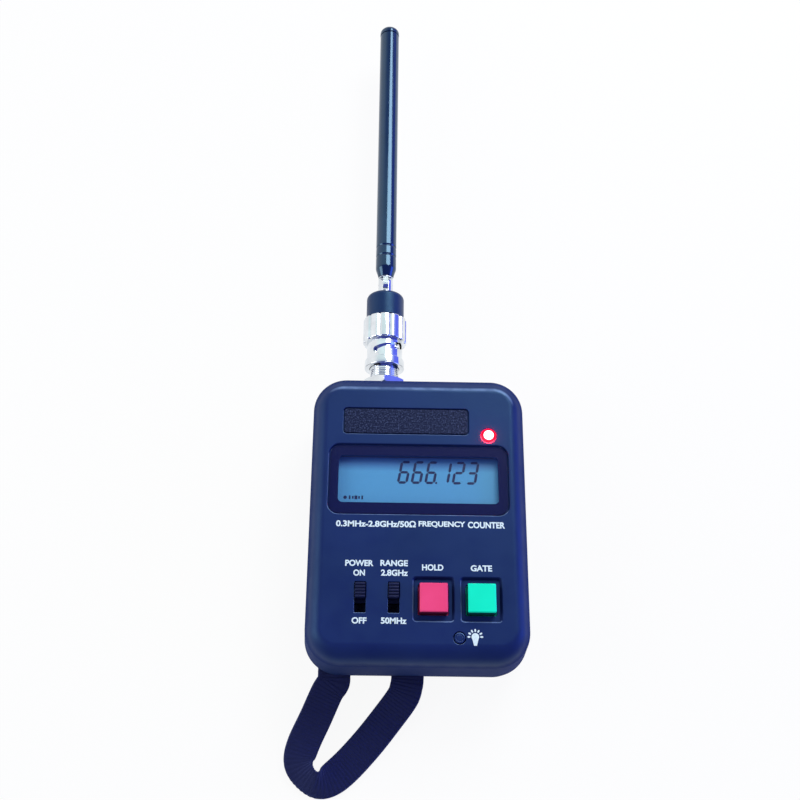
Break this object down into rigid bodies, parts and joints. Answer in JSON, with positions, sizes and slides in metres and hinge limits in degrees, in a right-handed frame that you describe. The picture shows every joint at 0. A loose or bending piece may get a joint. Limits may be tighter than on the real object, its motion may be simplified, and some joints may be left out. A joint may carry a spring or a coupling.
{
  "type": "frequency counter",
  "caption": "Handheld radio frequency counter with a display, slide switches, push buttons, a telescopic whip antenna on a bayonet elbow, and a webbing wrist strap.",
  "frame": {"origin": "centre of the flat back of the case", "axes": "+Z out of the front panel, +Y towards the antenna, +X to the reader's right"},
  "size_m": [0.0735, 0.2767, 0.0335],
  "materials": {
    "black_plastic": "matte moulded",
    "black_gloss": "glossy black coating",
    "chrome": "bright plated",
    "steel": "plain",
    "white_insulator": "plain",
    "gold_plate": "gold plated",
    "red_button": "satin moulded",
    "green_button": "satin moulded",
    "led_red": "clear tinted resin, lit",
    "clear_window": "clear sheet with a dark border",
    "display_glass": "liquid crystal cell",
    "backlight_panel": "diffusing",
    "connector_rubber": "plain",
    "circuit_board": "solder mask",
    "chip": "moulded",
    "nameplate_metal": "dark speckled, blank",
    "cell_sleeve": "printed sleeve over a metal can",
    "webbing": "ribbed woven webbing"
  },
  "bodies": {
    "case": {"front_shell": "black_plastic", "rear_shell": "black_plastic", "charging_socket": "black_plastic", "lcd_bezel": "black_plastic", "jack_body": "chrome", "jack_nut": "chrome", "case_screw_1": "steel", "case_screw_2": "steel", "case_screw_3": "steel", "case_screw_4": "steel", "board_screw_1": "steel", "board_screw_2": "steel", "jack_washer": "steel", "strap_bar": "steel", "power_switch_body": "steel", "range_switch_body": "steel", "rf_shield": "steel", "reference_crystal": "steel", "jack_insulator": "white_insulator", "jack_contact": "gold_plate", "gate_led": "led_red", "display_window": "clear_window", "lcd_glass": "display_glass", "lcd_backlight": "backlight_panel", "zebra_strip": "connector_rubber", "main_board": "circuit_board", "counter_chip": "chip", "prescaler_chip": "chip", "hold_switch_body": "chip", "gate_switch_body": "chip", "lamp_switch_body": "chip", "nameplate": "nameplate_metal", "battery_cell_1": "cell_sleeve", "battery_cell_2": "cell_sleeve", "battery_cell_3": "cell_sleeve", "battery_cell_4": "cell_sleeve", "wrist_strap": "webbing"},
    "power_knob": {"power_knob": "black_plastic"},
    "range_knob": {"range_knob": "black_plastic"},
    "hold_button": {"hold_button": "red_button"},
    "gate_button": {"gate_button": "green_button"},
    "lamp_button": {"lamp_button": "black_plastic"},
    "spring_washer": {"wave_washer": "steel"},
    "coupling_nut": {"coupling_nut": "chrome"},
    "plug": {"plug_body": "chrome", "plug_insulator": "white_insulator", "plug_pin": "gold_plate", "antenna_collar": "black_plastic", "elbow_fork": "chrome", "elbow_pin": "steel"},
    "antenna": {"elbow_tang": "chrome", "antenna_tube_1": "black_gloss"},
    "section_2": {"antenna_tube_2": "chrome"},
    "section_3": {"antenna_tube_3": "chrome"},
    "section_4": {"antenna_tube_4": "chrome"},
    "section_5": {"antenna_tube_5": "chrome"},
    "section_6": {"antenna_tube_6": "chrome", "antenna_tip": "black_gloss"}
  },
  "joints": [
    {"name": "power_slide", "type": "slide", "parent": "case", "child": "power_knob", "axis": [0, -1, 0], "range_m": [0, 0.004]},
    {"name": "range_slide", "type": "slide", "parent": "case", "child": "range_knob", "axis": [0, -1, 0], "range_m": [0, 0.004]},
    {"name": "hold_press", "type": "slide", "parent": "case", "child": "hold_button", "axis": [0, 0, -1], "range_m": [0, 0.0012], "stiffness_N_per_m": 400},
    {"name": "gate_press", "type": "slide", "parent": "case", "child": "gate_button", "axis": [0, 0, -1], "range_m": [0, 0.0012], "stiffness_N_per_m": 400},
    {"name": "lamp_press", "type": "slide", "parent": "case", "child": "lamp_button", "axis": [0, 0, -1], "range_m": [0, 0.0007], "stiffness_N_per_m": 300},
    {"name": "plug_release", "type": "slide", "parent": "case", "child": "spring_washer", "axis": [0, 1, 0], "range_m": [0, 0.0022]},
    {"name": "nut_turn", "type": "hinge", "parent": "spring_washer", "child": "coupling_nut", "pos_m": [-0.01102, 0.07, 0.0155], "axis": [0, 1, 0], "range_deg": [0, 90]},
    {"name": "antenna_swivel", "type": "hinge", "parent": "spring_washer", "child": "plug", "pos_m": [-0.01102, 0.0785, 0.0155], "axis": [0, 1, 0], "continuous": true},
    {"name": "elbow_tilt", "type": "hinge", "parent": "plug", "child": "antenna", "pos_m": [-0.01102, 0.0849, 0.0155], "axis": [1, 0, 0], "range_deg": [-90, 90]},
    {"name": "section_2_slide", "type": "slide", "parent": "antenna", "child": "section_2", "axis": [0, 1, 0], "range_m": [0, 0.078]},
    {"name": "section_3_slide", "type": "slide", "parent": "section_2", "child": "section_3", "axis": [0, 1, 0], "range_m": [0, 0.078]},
    {"name": "section_4_slide", "type": "slide", "parent": "section_3", "child": "section_4", "axis": [0, 1, 0], "range_m": [0, 0.078]},
    {"name": "section_5_slide", "type": "slide", "parent": "section_4", "child": "section_5", "axis": [0, 1, 0], "range_m": [0, 0.078]},
    {"name": "section_6_slide", "type": "slide", "parent": "section_5", "child": "section_6", "axis": [0, 1, 0], "range_m": [0, 0.078]}
  ],
  "couplings": [
    {"joint": "nut_turn", "follows": "plug_release", "rad_per_m": 713.99}
  ]
}
